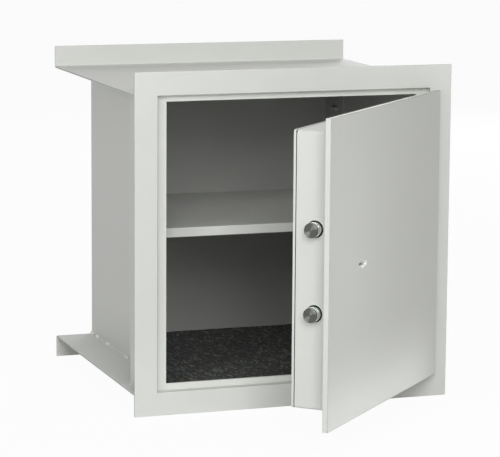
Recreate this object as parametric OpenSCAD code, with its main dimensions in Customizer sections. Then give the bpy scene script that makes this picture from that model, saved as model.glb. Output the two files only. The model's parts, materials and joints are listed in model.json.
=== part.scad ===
// Wall safe: a sheet-steel body with two anchor plates, built into masonry
// behind a flush front frame, with a key-locked steel door on concealed hinges.
// X is the width, with the hinge side at +X. Y runs from the room into the wall.
// Z is up. The origin is the middle of the frame's back plane, the wall face.

/* [Front frame] */
// Width of the front frame
frame_w = 420; // [390:1:520]
// Height of the front frame
frame_h = 430; // [400:1:560]
// Thickness of the frame plate
frame_t = 3; // [2:0.5:5]
// Frame edge to the rebate, left and right
border_x = 30; // [24:0.5:40]
// Frame edge to the rebate, top and bottom
border_z = 29.5; // [26:0.5:40]
// Depth of the rebate, from the frame's face to the lips
rebate_depth = 10; // [9:0.5:14]
// Thickness of the side returns
return_t = 2.5; // [1.5:0.5:3]
// Thickness of the lips
lip_t = 3; // [2:0.5:4]
// Width of the two side lips
side_lip_w = 14; // [12:0.5:18]
// Width of the top and bottom lips
end_lip_w = 8.5; // [6:0.5:14]

/* [Body] */
// Depth from the wall face to the rear edges
body_depth = 377; // [330:1:460]
// Thickness of the side walls, the rear wall and the rear plate
wall_t = 3; // [2:0.5:4]
// Frame edge to the outer face of the lock-side wall
lock_wall_inset = 51; // [49:0.5:58]
// Frame edge to the outer face of the hinge-side wall
hinge_wall_inset = 32; // [28:0.5:36]
// Depth of the jambs behind the wall face
jamb_depth = 57; // [56:0.5:66]
// Thickness of the jamb sheet
jamb_t = 2; // [1.5:0.5:3]
// Frame edge to the outer face of the lock-side jamb
lock_jamb_inset = 12; // [6:0.5:13]
// Frame edge to the outer face of the hinge-side jamb
hinge_jamb_inset = 1.5; // [0.5:0.5:2]
// Gap between the rear wall and the rear plate
rear_gap = 27; // [6:0.5:40]
// Length of the rear wall's forward flanges
rear_flange = 65; // [40:1:90]
// Thickness of the rear wall's flanges
rear_flange_t = 2; // [1.5:0.5:3]

/* [Anchor plates] */
// Thickness of the anchor plates
anchor_t = 2.5; // [2:0.5:4]

/* [Keeper] */
// Width of the keeper bar behind the lock-side lip
keeper_w = 15; // [10:0.5:17]
// Gap between the keeper bar and the thrown bolts
keeper_gap = 0.5; // [0.3:0.1:1]

/* [Shelf] */
// Height of the shelf's top above the frame's middle
shelf_z = 10; // [-60:1:60]
// Thickness of the shelf sheet
shelf_t = 2; // [1.5:0.5:3]
// Height of the shelf's front and rear lips
shelf_lip = 12; // [8:0.5:20]
// Gap between the jambs' back and the shelf's front
shelf_setback = 5; // [3:0.5:12]
// Gap between the shelf and the walls beside and behind it
shelf_gap = 1; // [0.5:0.1:2]
// Seating gap between the shelf and its lugs
shelf_seat_gap = 0.2; // [0.1:0.05:0.3]
// Height step between two rows of lugs
lug_pitch = 121; // [100:1:125]
// Rows of lugs, the shelf's own row in the middle
lug_rows = 3; // [1:2:3]
// Length of a lug
lug_l = 18; // [12:1:24]
// Reach and height of a lug
lug_r = 6; // [4:0.5:8]
// Height of the slit pressed open above a lug
lug_slit = 1.5; // [1:0.5:2.5]
// Depth of that slit in the sheet
lug_slit_depth = 1.2; // [0.8:0.2:1.4]
// Jambs' back to the middle of the front lugs
front_lug_y = 48; // [36:1:70]
// Inside of the rear wall to the middle of the rear lugs
rear_lug_y = 38; // [20:1:50]

/* [Floor mat] */
// Thickness of the felt mat
mat_t = 3; // [2:0.5:5]
// Gap between the mat and the walls
mat_gap = 1; // [0.5:0.1:3]
// How far the mat reaches in front of the jambs' back
mat_forward = 27; // [0:1:36]

/* [Door] */
// Thickness of the door plate
door_t = 7; // [5:0.5:8]
// Gap along the lock edge
lock_gap = 2; // [1.5:0.1:3]
// Gap along the hinge edge
hinge_gap = 3; // [3:0.1:4]
// Gap above and below the door plate
end_gap = 2; // [1.5:0.1:4]
// Angle at which the door stands open
open_angle = 46; // [0:0.25:90]

/* [Bolt box] */
// Depth of the box behind the door plate, with its cover
box_depth = 52; // [50:0.5:54]
// Door plate edge to the box, left and right
box_inset_x = 29; // [28:0.5:40]
// Door plate edge to the box, top and bottom
box_inset_z = 18.5; // [14:0.5:30]
// Thickness of the box sheet
box_t = 2; // [1.5:0.5:3]
// Thickness of the box cover
cover_t = 3; // [2:0.5:4]
// Height of the seam between the box and the cover
cover_seam = 1; // [0.5:0.1:1.5]
// Depth of that seam from the outside
seam_depth = 3; // [1:0.5:3.5]
// Width of the flange that the cover is screwed to
box_flange = 12; // [10:0.5:16]

/* [Hinges] */
// Door plate's hinge edge to the pivot
pivot_out = 20; // [19:0.5:20.5]
// Frame's face to the pivot
pivot_back = 10; // [9.5:0.5:10]
// Radius of the hinge pins
pin_r = 3; // [2.5:0.1:3.2]
// Running clearance of the pins in their bushes
pin_clear = 0.05; // [0.02:0.01:0.1]
// Wall of the bushes
bush_wall = 1.15; // [1:0.05:1.2]
// Outer radius of the arm's eye
eye_r = 6.2; // [6:0.1:6.4]
// Thickness of the hinge arms
arm_t = 8; // [6:0.5:10]
// Width of an arm's neck
neck_w = 10; // [8:0.5:10]
// Inner radius of an arm's neck, clear of the frame's arris
neck_r = 21.5; // [21:0.5:22]
// Door plate's ends to the middle of an arm
hinge_inset = 53.5; // [38.5:0.5:80]
// Gap between an arm and its bracket
arm_gap = 0.5; // [0.3:0.1:1]
// Thickness of the bracket's ears
ear_t = 5; // [4:0.5:8]
// Thickness of the bracket's web
web_t = 2; // [1.5:0.5:2]
// Reach of the bracket's ears behind the wall face
ear_l = 22; // [16:0.5:26]
// Length of pin that stands out of the bracket
pin_stub = 1.5; // [1:0.5:3]
// Spare height of the slots in the lip and the return
slot_spare = 1; // [0.5:0.1:2]

/* [Boltwork] */
// Diameter of the locking bolts
bolt_d = 18; // [14:0.5:20]
// Height between the two bolts
bolt_spacing = 100; // [99:1:140]
// Frame's face to the bolts' centre line
bolt_back = 31; // [30:0.5:33]
// Length of bolt that shows when it is drawn back
bolt_show = 13; // [8:0.5:13]
// Throw of the boltwork
bolt_throw = 20; // [14:1:22]
// Spare radius of the bolt holes in the box
bolt_hole_spare = 1.4; // [0.8:0.1:2]
// Running clearance of a bolt in its guide
bolt_clear = 0.05; // [0.02:0.01:0.1]
// Thickness of the bolt guides
guide_t = 6; // [4:0.5:8]
// Wall of the bolt guides round the bolt
guide_wall = 5; // [3:0.5:7]
// Gap kept between moving and fixed parts of the boltwork
work_gap = 2; // [1:0.5:3]
// Thickness of the bolt bar
bar_t = 6; // [4:0.5:8]
// Width of the bolt bar
bar_w = 28; // [26:0.5:28]
// Length of bolt bar past each bolt
bar_past = 25; // [18:0.5:40]
// Radius of a bolt's threaded stud
stud_r = 6; // [5:0.5:7]
// Width of a bolt nut over its flats
nut_af = 18; // [17:0.5:19]
// Thickness of a bolt nut
nut_t = 8; // [6:0.5:10]
// Length of stud past its nut
stud_past = 1; // [0:0.5:3]
// Gap between the bolt bar's ends and their guides
bar_gap = 0.3; // [0.2:0.1:0.5]
// Thickness of the bar guides
bar_guide_t = 4; // [3:0.5:6]
// Chamfer on a bolt's end
bolt_chamfer = 1.2; // [0.5:0.1:2]
// Radius of the centre mark in a bolt's end
centre_r = 1.6; // [1:0.1:2.5]

/* [Lock] */
// Door plate's lock edge to the key's axis
key_inset = 101; // [100:0.5:112]
// Width of the keyhole
keyhole_w = 22.5; // [20:0.5:24]
// Height of the keyhole's slot
keyhole_h = 4.5; // [4:0.5:5]
// Radius of the keyhole's round middle
keyhole_r = 4.5; // [4:0.1:5]
// Thickness of the hard plate
hard_t = 4; // [3:0.5:6]
// Margin of hard plate round the lock case
hard_margin = 12; // [6:0.5:14]
// Width of the lock case
case_w = 66; // [64:0.5:72]
// Height of the lock case
case_h = 80; // [78:0.5:81]
// Depth of the lock case
case_d = 22; // [21.5:0.5:26]
// Thickness of the case's walls
case_t = 3; // [2.5:0.5:3]
// Thickness of the case's front wall
case_front_t = 2.5; // [2:0.5:3]
// Thickness of the lock cover
lock_cover_t = 2.5; // [2:0.5:4]
// Lock-side edge of the case to the key's axis
case_key_x = 32; // [32:0.5:34]
// Radius of the key curtain
curtain_r = 8; // [7.5:0.1:8.2]
// Running clearance of the lock's pivots
pivot_clear = 0.05; // [0.02:0.01:0.1]
// Radius of the curtain's rear journal
journal_r = 4; // [3:0.5:5]
// Length of the journal behind the lock cover
journal_past = 1.5; // [1:0.5:4]
// Height of the key slot in the curtain
curtain_slot = 4.6; // [4.2:0.1:5.2]
// Height of the lock bolt
lock_bolt_h = 16; // [14:0.5:17]
// Thickness of the lock bolt
lock_bolt_t = 8; // [6:0.5:8]
// Key's axis to the lower edge of the lock bolt
lock_bolt_z = 10.5; // [10:0.5:11]
// Gap between the lock bolt and the case round it
lock_bolt_gap = 0.5; // [0.3:0.1:1]
// Gap between the lock bolt and the case's front wall
lock_bolt_lift = 1.5; // [1:0.1:2]
// Side of the square stump on the lock bolt
stump = 3.6; // [3:0.1:4]
// Key's axis to the stump, along the lock
stump_off = 3; // [0:0.5:4]
// Gap beside the stump in the levers' window
window_gap_x = 1.5; // [1.5:0.1:2]
// Gap above and below the stump in that window
window_gap_z = 1; // [0.5:0.1:1.5]
// Number of levers
levers = 6; // [4:1:6]
// Thickness of a lever
lever_t = 1; // [0.8:0.1:1]
// Distance from one lever to the next
lever_pitch = 1.2; // [1.1:0.1:1.2]
// Gap between the lock bolt and the first lever
lever_gap = 0.6; // [0.3:0.1:0.8]
// Hinge-side edge of the case to the lever post
post_inset = 11; // [10:0.5:12]
// Key's axis to the lever post, upwards
post_z = 20; // [19:0.5:20]
// Radius of the lever post
post_r = 3; // [2.5:0.1:3.2]
// Radius of a lever's eye
lever_eye_r = 6; // [5.5:0.1:6.4]
// Case's lock-side wall to the levers' ends
lever_end_gap = 7; // [3:0.5:8]
// Key's axis to the lower edge of the levers
lever_low = 9; // [9:0.1:9.4]
// Height of a lever
lever_h = 19; // [18:0.5:19]
// Largest angle the levers are lifted by
lever_lift = 6; // [3:0.5:6]
// Radius of the lock screws
lock_screw_r = 2; // [1.5:0.1:2.2]
// Wall of the bosses round the lock screws
boss_wall = 2; // [1.5:0.1:2.2]

/* [Cover screws] */
// Radius of the cover screws
screw_r = 2.4; // [2:0.1:2.6]
// Clearance of a screw in its hole
screw_clear = 0.05; // [0.02:0.01:0.1]
// Depth of a screw head's face below the cover's face
head_sink = 0.1; // [0.05:0.05:0.3]
// Length of screw past the box's flange
screw_past = 1; // [0.5:0.5:3]
// Cover screws along each upright edge
screws_z = 3; // [2:1:5]
// Cover screws along each level edge, between the corners
screws_x = 1; // [0:1:3]

/* [Hidden] */
$fn = 64;
EPS = 0.01;

// Finishes
PAINT = [0.83, 0.84, 0.82];
INNER_PAINT = [0.72, 0.73, 0.71];
STEEL = [0.55, 0.56, 0.57];
ZINC = [0.68, 0.68, 0.66];
BRASS = [0.76, 0.62, 0.30];
FELT = [0.16, 0.16, 0.15];

// Frame and rebate
half_w = frame_w / 2;
half_h = frame_h / 2;
reb_x = half_w - border_x;
reb_z = half_h - border_z;
front_y = -frame_t;
lip_y = front_y + rebate_depth;
lip_back_y = lip_y + lip_t;
lip_in_x = reb_x - side_lip_w;
return_out_x = reb_x + return_t;

// Body
lock_wall_x = -half_w + lock_wall_inset;
hinge_wall_x = half_w - hinge_wall_inset;
in_x0 = lock_wall_x + wall_t;
in_x1 = hinge_wall_x - wall_t;
jamb_x0 = -half_w + lock_jamb_inset;
jamb_x1 = half_w - hinge_jamb_inset;
rear_out_y = body_depth - wall_t - rear_gap;
rear_in_y = rear_out_y - wall_t;

// Door plate and bolt box, drawn closed
door_x0 = -reb_x + lock_gap;
door_x1 = reb_x - hinge_gap;
door_z = reb_z - end_gap;
door_back_y = front_y + door_t;
box_x0 = door_x0 + box_inset_x;
box_x1 = door_x1 - box_inset_x;
box_z = door_z - box_inset_z;
cover_y = door_back_y + box_depth - cover_t - cover_seam;
cover_face_y = door_back_y + box_depth;
head_y = cover_face_y - head_sink;

// Hinges
hinge_z = door_z - hinge_inset;
pivot_x = door_x1 + pivot_out;
pivot_y = front_y + pivot_back;
bush_r = pin_r + pin_clear + bush_wall;
hinge_inner_z = arm_t / 2 + arm_gap;
hinge_outer_z = hinge_inner_z + ear_t;
leg_left = -2.8;
leg_right = eye_r - 0.2;
arm_slot_h = arm_t + 2 * slot_spare;
pad_depth = 12;

// Boltwork
bolt_r = bolt_d / 2;
bolt_z = bolt_spacing / 2;
bolt_y = front_y + bolt_back;
bolt_end_x = box_x0 - bolt_show;
guide_x0 = box_x0 + box_t;
bar_x0 = guide_x0 + guide_t + work_gap + bolt_throw;
bar_x1 = bar_x0 + bar_t;
bar_y0 = bolt_y - bar_w / 2;
bar_half = bolt_z + bar_past;
groove_w = 1;
groove_back = 4;

// Lock
key_x = door_x0 + key_inset;
case_x0 = key_x - case_key_x;
case_x1 = case_x0 + case_w;
case_z = case_h / 2;
case_y = door_back_y + hard_t;
case_floor_y = case_y + case_front_t;
lock_cover_y = case_y + case_d;
post_x = case_x1 - post_inset;
lock_bolt_y = case_floor_y + lock_bolt_lift;
lock_bolt_x1 = post_x - post_r - work_gap;
stump_x = key_x + stump_off;
stump_z = lock_bolt_z + lock_bolt_h / 2;
lever_y = lock_bolt_y + lock_bolt_t + lever_gap;
lever_x0 = case_x0 + case_t + lever_end_gap;
stump_rise = (post_x - stump_x + stump / 2 + bolt_throw) * sin(lever_lift);
window_x1 = stump_x + stump / 2 + window_gap_x;
window_x0 = stump_x - stump / 2 - bolt_throw - window_gap_x;
window_z0 = stump_z - stump / 2 - window_gap_z - stump_rise;
window_z1 = stump_z + stump / 2 + window_gap_z;
boss_r = lock_screw_r + boss_wall;
boss_in = case_t + boss_r - 0.5;

// Shelf and its lugs
shelf_y0 = jamb_depth + shelf_setback;
shelf_y1 = rear_in_y - shelf_gap;
shelf_under = shelf_z - shelf_t;
lug_ys = [jamb_depth + front_lug_y, rear_in_y - rear_lug_y];
lug_zs = [for (i = [0 : lug_rows - 1]) shelf_under - shelf_seat_gap + (i - (lug_rows - 1) / 2) * lug_pitch];

// A block between two corners
module block(a, b) {
    translate(a) cube(b - a);
}

// A round bar along +X from a point
module x_rod(p, r, l) {
    translate(p) rotate([0, 90, 0]) cylinder(r = r, h = l);
}

// A round bar along +Y from a point
module y_rod(p, r, l) {
    translate(p) rotate([-90, 0, 0]) cylinder(r = r, h = l);
}

// Cross recess in a screw head, its mouth at p
module cross_recess(p, r, depth) {
    for (a = [0, 90])
        translate(p) rotate([0, a, 0]) cube([1.6 * r, 2 * depth, 0.4 * r], center = true);
}

// Countersunk head, its flat face at p and its cone towards -Y
module sunk_head(p, r, spare = 0) {
    translate(p) rotate([90, 0, 0]) cylinder(r1 = 2 * r + spare, r2 = r + spare, h = r);
}

// Turns what was drawn closed to the door's open position
module swing() {
    translate([pivot_x, pivot_y, 0]) rotate([0, 0, open_angle])
        translate([-pivot_x, -pivot_y, 0]) children();
}

// The flat frame with the two folded side returns of the rebate
module front_frame() {
    color(PAINT) difference() {
        union() {
            block([-half_w, front_y, -half_h], [half_w, 0, half_h]);
            for (s = [-1, 1])
                translate([s * (reb_x + return_t / 2), lip_y / 2, 0])
                    cube([return_t, lip_y, 2 * reb_z], center = true);
        }
        block([-reb_x, front_y - 1, -reb_z], [reb_x, lip_y + 1, reb_z]);
        arm_slots();
    }
}

// Slots that let the hinge arms through the return and the lip
module arm_slots() {
    for (s = [-1, 1])
        translate([0, 0, s * hinge_z])
            block([lip_in_x - 1, 0, -arm_slot_h / 2], [return_out_x + 1, lip_back_y + 1, arm_slot_h / 2]);
}

module side_lip(x0, x1) {
    block([x0, lip_y, -reb_z], [x1, lip_back_y, reb_z]);
}

module lock_side_lip() {
    color(PAINT) side_lip(-return_out_x, -lip_in_x);
}

module hinge_side_lip() {
    color(PAINT) difference() {
        side_lip(lip_in_x, return_out_x);
        arm_slots();
    }
}

module end_lip(z0, z1) {
    color(PAINT) block([-lip_in_x, lip_y, z0], [lip_in_x, lip_back_y, z1]);
}

module top_lip() {
    end_lip(reb_z - end_lip_w, reb_z);
}

module bottom_lip() {
    end_lip(-reb_z, end_lip_w - reb_z);
}

// Solid bar behind the lock-side lip that the thrown bolts bear on
module keeper_bar() {
    color(INNER_PAINT)
        block([-lip_in_x - keeper_w, lip_back_y, -reb_z], [-lip_in_x, bolt_y - bolt_r - keeper_gap, reb_z]);
}

// Folded jamb: an outer wall and a rear wall that ends at the side wall's inner face
module lock_side_jamb() {
    color(PAINT) {
        block([jamb_x0, 0, -reb_z], [jamb_x0 + jamb_t, jamb_depth, reb_z]);
        block([jamb_x0, jamb_depth - jamb_t, -reb_z], [in_x0, jamb_depth, reb_z]);
    }
}

module hinge_side_jamb() {
    color(PAINT) {
        block([jamb_x1 - jamb_t, 0, -reb_z], [jamb_x1, jamb_depth, reb_z]);
        block([in_x1, jamb_depth - jamb_t, -reb_z], [jamb_x1, jamb_depth, reb_z]);
    }
}

// Slits above one side's lugs, cut into the face at x, s pointing inwards
module lug_slits(x, s, ys) {
    for (y = ys, z = lug_zs)
        translate([x, y, z + lug_slit / 2])
            cube([2 * lug_slit_depth, lug_l, lug_slit], center = true);
}

module lock_side_wall() {
    color(PAINT) difference() {
        block([lock_wall_x, jamb_depth, -reb_z], [in_x0, body_depth, reb_z]);
        lug_slits(in_x0, 1, [lug_ys[0]]);
    }
}

module hinge_side_wall() {
    color(PAINT) difference() {
        block([in_x1, jamb_depth, -reb_z], [hinge_wall_x, body_depth, reb_z]);
        lug_slits(in_x1, -1, [lug_ys[0]]);
    }
}

// Rear wall folded as a pan, its flanges lying forward against the side walls
module rear_wall() {
    flange_y = rear_in_y - rear_flange;
    color(INNER_PAINT) difference() {
        block([in_x0, flange_y, -reb_z], [in_x1, rear_out_y, reb_z]);
        block([in_x0 + rear_flange_t, flange_y - 1, -reb_z - 1], [in_x1 - rear_flange_t, rear_in_y, reb_z + 1]);
        lug_slits(in_x0 + rear_flange_t, 1, [lug_ys[1]]);
        lug_slits(in_x1 - rear_flange_t, -1, [lug_ys[1]]);
    }
}

// Outer skin behind the rear wall, flush with the side walls' rear edges
module rear_plate() {
    color(PAINT) block([in_x0, body_depth - wall_t, -reb_z], [in_x1, body_depth, reb_z]);
}

// Anchor plate: the roof or floor of the body, with a flange flush with the frame's edge
module anchor_plate() {
    block([-half_w, 0, reb_z], [half_w, body_depth, reb_z + anchor_t]);
    block([-half_w, body_depth - anchor_t, reb_z], [half_w, body_depth, half_h]);
}

module top_anchor_plate() {
    color(PAINT) anchor_plate();
}

module bottom_anchor_plate() {
    color(PAINT) mirror([0, 0, 1]) anchor_plate();
}

// U-shaped bracket in the hinge-side jamb that holds one hinge pin
module hinge_bracket(z) {
    web_x = jamb_x1 - jamb_t;
    color(ZINC) translate([0, 0, z]) difference() {
        block([return_out_x, 0, -hinge_outer_z], [web_x, ear_l, hinge_outer_z]);
        block([return_out_x - 1, -1, -hinge_inner_z], [web_x - web_t, ear_l + 1, hinge_inner_z]);
        translate([pivot_x, pivot_y, -hinge_outer_z - 1]) cylinder(r = pin_r, h = 2 * hinge_outer_z + 2);
    }
}

module upper_hinge_bracket() {
    hinge_bracket(hinge_z);
}

module lower_hinge_bracket() {
    hinge_bracket(-hinge_z);
}

module hinge_pins() {
    pin_half = hinge_outer_z + pin_stub;
    color(STEEL) for (s = [-1, 1])
        translate([pivot_x, pivot_y, s * hinge_z - pin_half]) cylinder(r = pin_r, h = 2 * pin_half);
}

// Quarter-round lug with a flat top, s pointing away from its wall
module lug(x, y, z, s) {
    translate([x, y, z]) rotate([90, 0, 0]) translate([0, 0, -lug_l / 2])
        linear_extrude(lug_l) intersection() {
            circle(r = lug_r);
            translate([s > 0 ? 0 : -lug_r, -lug_r]) square(lug_r);
        }
}

module shelf_lugs() {
    color(INNER_PAINT) for (z = lug_zs, i = [0, 1]) {
        inset = i == 0 ? 0 : rear_flange_t;
        lug(in_x0 + inset, lug_ys[i], z, 1);
        lug(in_x1 - inset, lug_ys[i], z, -1);
    }
}

module floor_mat() {
    edge = rear_flange_t + mat_gap;
    color(FELT)
        block([in_x0 + edge, jamb_depth - mat_forward, -reb_z], [in_x1 - edge, rear_in_y - mat_gap, mat_t - reb_z]);
}

// Folded shelf, its front and rear lips turned down
module shelf() {
    edge = rear_flange_t + shelf_gap;
    x0 = in_x0 + edge;
    x1 = in_x1 - edge;
    lip_z = shelf_z - shelf_lip;
    color(INNER_PAINT) {
        block([x0, shelf_y0, shelf_under], [x1, shelf_y1, shelf_z]);
        block([x0, shelf_y0, lip_z], [x1, shelf_y0 + shelf_t, shelf_z]);
        block([x0, shelf_y1 - shelf_t, lip_z], [x1, shelf_y1, shelf_z]);
    }
}

// Double-bit keyhole: a level slot with a round middle, r of that middle
module keyhole(r, y0, y1, spare = 0) {
    w = keyhole_w + 2 * spare;
    h = keyhole_h + 2 * spare;
    block([key_x - w / 2, y0, -h / 2], [key_x + w / 2, y1, h / 2]);
    y_rod([key_x, y0, 0], r, y1 - y0);
}

module door_plate() {
    color(PAINT) swing() difference() {
        block([door_x0, front_y, -door_z], [door_x1, door_back_y, door_z]);
        keyhole(keyhole_r, front_y - 1, door_back_y + 1);
    }
}

// Places of the cover screws: both upright edges, then between the corners
function screw_spots() = let (
    sx = (box_x1 - box_x0) / 2 - box_flange / 2,
    mid = (box_x1 + box_x0) / 2,
    sz = box_z - box_flange / 2
) concat(
    [for (s = [-1, 1], i = [0 : screws_z - 1]) [mid + s * sx, sz * (2 * i / (screws_z - 1) - 1)]],
    [for (s = [-1, 1], i = [1 : 1 : screws_x]) [mid + sx * (2 * i / (screws_x + 1) - 1), s * sz]]
);

// Four-walled box on the back of the door, with the bolt holes in its lock side
module bolt_box() {
    color(PAINT) swing() difference() {
        block([box_x0, door_back_y, -box_z], [box_x1, cover_y, box_z]);
        block([box_x0 + box_t, door_back_y - 1, box_t - box_z], [box_x1 - box_t, cover_y - box_t, box_z - box_t]);
        block([box_x0 + box_flange, door_back_y - 1, box_flange - box_z],
              [box_x1 - box_flange, cover_y + 1, box_z - box_flange]);
        for (s = [-1, 1])
            x_rod([box_x0 - 1, bolt_y, s * bolt_z], bolt_r + bolt_hole_spare, box_t + 2);
        for (p = screw_spots())
            y_rod([p[0], cover_y - box_t - 1, p[1]], screw_r + screw_clear, box_t + 2);
    }
}

// Flat cover with a pressed step on its inner face, which leaves a seam all round
module box_cover() {
    color(PAINT) swing() difference() {
        union() {
            block([box_x0, cover_face_y - cover_t, -box_z], [box_x1, cover_face_y, box_z]);
            block([box_x0 + seam_depth, cover_y, seam_depth - box_z],
                  [box_x1 - seam_depth, cover_face_y, box_z - seam_depth]);
        }
        for (p = screw_spots()) {
            y_rod([p[0], cover_y - 1, p[1]], screw_r + screw_clear, cover_t + cover_seam + 2);
            sunk_head([p[0], head_y, p[1]], screw_r, screw_clear);
            y_rod([p[0], head_y, p[1]], 2 * screw_r + screw_clear, head_sink + 1);
        }
    }
}

// Pan-head screw with a cross recess, its head towards +Y
module pan_screw(p, r, l) {
    head_r = 2 * r;
    head_h = r;
    difference() {
        union() {
            y_rod([p[0], p[1] - l, p[2]], r, l);
            y_rod(p, head_r, head_h);
        }
        cross_recess([p[0], p[1] + head_h, p[2]], r, head_h / 2);
    }
}

module cover_screws() {
    tip_y = cover_y - box_t - screw_past;
    color(ZINC) swing() for (p = screw_spots()) difference() {
        union() {
            y_rod([p[0], tip_y, p[1]], screw_r, head_y - screw_r - tip_y);
            sunk_head([p[0], head_y, p[1]], screw_r);
        }
        cross_recess([p[0], head_y, p[1]], screw_r, screw_r / 2);
    }
}

// Swan-neck arm: an eye on the pin, a neck round the frame's arris, a pad on the door
module arm_outline() {
    out_r = neck_r + neck_w;
    back = door_back_y - pivot_y;
    box_side = box_x1 - pivot_x;
    difference() {
        union() {
            circle(r = eye_r);
            translate([leg_left, 0]) square([leg_right - leg_left, neck_r + neck_w / 2]);
            difference() {
                circle(r = out_r);
                circle(r = neck_r);
                translate([-out_r - 1, -out_r - 1]) square([2 * out_r + 2, out_r + 1]);
                translate([leg_right, 0]) square(out_r + 1);
            }
            translate([-out_r, back]) square([neck_w, -back + EPS]);
            translate([box_side, back]) square([-out_r - box_side + EPS, pad_depth]);
        }
        circle(r = bush_r);
    }
}

module hinge_arm(z) {
    color(ZINC) swing() translate([pivot_x, pivot_y, z - arm_t / 2]) linear_extrude(arm_t) arm_outline();
}

module upper_hinge_arm() {
    hinge_arm(hinge_z);
}

module lower_hinge_arm() {
    hinge_arm(-hinge_z);
}

module hinge_bushes() {
    color(BRASS) for (s = [-1, 1])
        translate([pivot_x, pivot_y, s * hinge_z - arm_t / 2]) difference() {
            cylinder(r = bush_r, h = arm_t);
            translate([0, 0, -1]) cylinder(r = pin_r + pin_clear, h = arm_t + 2);
        }
}

// Corners of the lock case that carry its four screws
lock_screw_spots = [
    for (x = [case_x0 + boss_in, case_x1 - boss_in], z = [-case_z + boss_in, case_z - boss_in]) [x, z]
];

module hard_plate() {
    color(STEEL) swing() difference() {
        block([case_x0 - hard_margin, door_back_y, -case_z - hard_margin],
              [case_x1 + hard_margin, case_y, case_z + hard_margin]);
        keyhole(keyhole_r, door_back_y - 1, case_y + 1, 0.2);
        for (p = lock_screw_spots)
            y_rod([p[0], door_back_y - 1, p[1]], lock_screw_r + screw_clear, hard_t + 2);
    }
}

// Open case with a keyhole in front, a window for the lock bolt and four bosses
module lock_case() {
    color(ZINC) swing() difference() {
        union() {
            difference() {
                block([case_x0, case_y, -case_z], [case_x1, lock_cover_y, case_z]);
                block([case_x0 + case_t, case_floor_y, case_t - case_z], [case_x1 - case_t, lock_cover_y + 1, case_z - case_t]);
            }
            for (p = lock_screw_spots)
                y_rod([p[0], case_y, p[1]], boss_r, case_d);
        }
        keyhole(curtain_r + pivot_clear, case_y - 1, case_floor_y + 1, 0.2);
        block([case_x0 - 1, lock_bolt_y - lock_bolt_gap, lock_bolt_z - lock_bolt_gap],
              [case_x0 + case_t + 1, lock_bolt_y + lock_bolt_t + lock_bolt_gap, lock_bolt_z + lock_bolt_h + lock_bolt_gap]);
        for (p = lock_screw_spots)
            y_rod([p[0], case_y - 1, p[1]], lock_screw_r + screw_clear, case_d + 2);
    }
}

module lock_cover() {
    color(ZINC) swing() difference() {
        block([case_x0, lock_cover_y, -case_z], [case_x1, lock_cover_y + lock_cover_t, case_z]);
        y_rod([key_x, lock_cover_y - 1, 0], journal_r + pivot_clear, lock_cover_t + 2);
        for (p = lock_screw_spots)
            y_rod([p[0], lock_cover_y - 1, p[1]], lock_screw_r + screw_clear, lock_cover_t + 2);
    }
}

module lock_screws() {
    back = lock_cover_y + lock_cover_t;
    color(STEEL) swing() for (p = lock_screw_spots)
        pan_screw([p[0], back, p[1]], lock_screw_r, back - door_back_y - 1);
}

module lever_post() {
    color(STEEL) swing() y_rod([post_x, case_floor_y, post_z], post_r, lock_cover_y - case_floor_y);
}

// Guide blocks behind the bolt holes
module bolt_guides() {
    side = bolt_r + guide_wall;
    color(ZINC) swing() for (s = [-1, 1]) difference() {
        block([guide_x0, bolt_y - side, s * bolt_z - side], [guide_x0 + guide_t, bolt_y + side, s * bolt_z + side]);
        x_rod([guide_x0 - 1, bolt_y, s * bolt_z], bolt_r + bolt_clear, guide_t + 2);
    }
}

// Plates on the door that guide the two ends of the bolt bar
module bar_guides() {
    color(ZINC) swing() for (s = [-1, 1])
        translate([0, 0, s * (bar_half + bar_gap + bar_guide_t / 2)])
            block([bar_x0 - bolt_throw - work_gap, door_back_y, -bar_guide_t / 2],
                  [bar_x1 + work_gap, bar_y0 + bar_w, bar_guide_t / 2]);
}

module bolt_bar() {
    color(ZINC) swing() difference() {
        block([bar_x0, bar_y0, -bar_half], [bar_x1, bar_y0 + bar_w, bar_half]);
        for (s = [-1, 1])
            x_rod([bar_x0 - 1, bolt_y, s * bolt_z], stud_r, bar_t + 2);
        block([bar_x0 - 1, lock_bolt_y, lock_bolt_z], [bar_x1 + 1, lock_bolt_y + lock_bolt_t, lock_bolt_z + lock_bolt_h]);
    }
}

// Turned bolt: chamfered end with a centre mark, a groove, and a stud for its nut
module locking_bolt(z) {
    body_l = bar_x0 - bolt_end_x;
    full_l = body_l + bar_t + nut_t + stud_past;
    color(STEEL) swing() translate([bolt_end_x, bolt_y, z]) rotate([0, 90, 0]) rotate_extrude() polygon([
        [0, centre_r], [centre_r, 0], [bolt_r - bolt_chamfer, 0], [bolt_r, bolt_chamfer],
        [bolt_r, groove_back], [bolt_r - groove_w, groove_back],
        [bolt_r - groove_w, groove_back + groove_w], [bolt_r, groove_back + groove_w],
        [bolt_r, body_l], [stud_r, body_l], [stud_r, full_l], [0, full_l]
    ]);
}

module upper_bolt() {
    locking_bolt(bolt_z);
}

module lower_bolt() {
    locking_bolt(-bolt_z);
}

module bolt_nuts() {
    color(ZINC) swing() for (s = [-1, 1])
        translate([bar_x1, bolt_y, s * bolt_z]) rotate([0, 90, 0]) difference() {
            rotate([0, 0, 30]) cylinder(r = nut_af / sqrt(3), h = nut_t, $fn = 6);
            translate([0, 0, -1]) cylinder(r = stud_r, h = nut_t + 2);
        }
}

// The lock's own bolt: riveted into the bolt bar, with a square stump for the levers
module lock_bolt() {
    stack = lever_y + levers * lever_pitch - lock_bolt_y;
    color(BRASS) swing() {
        block([bar_x0, lock_bolt_y, lock_bolt_z], [lock_bolt_x1, lock_bolt_y + lock_bolt_t, lock_bolt_z + lock_bolt_h]);
        translate([stump_x - stump / 2, lock_bolt_y, stump_z - stump / 2]) cube([stump, stack, stump]);
    }
}

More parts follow.
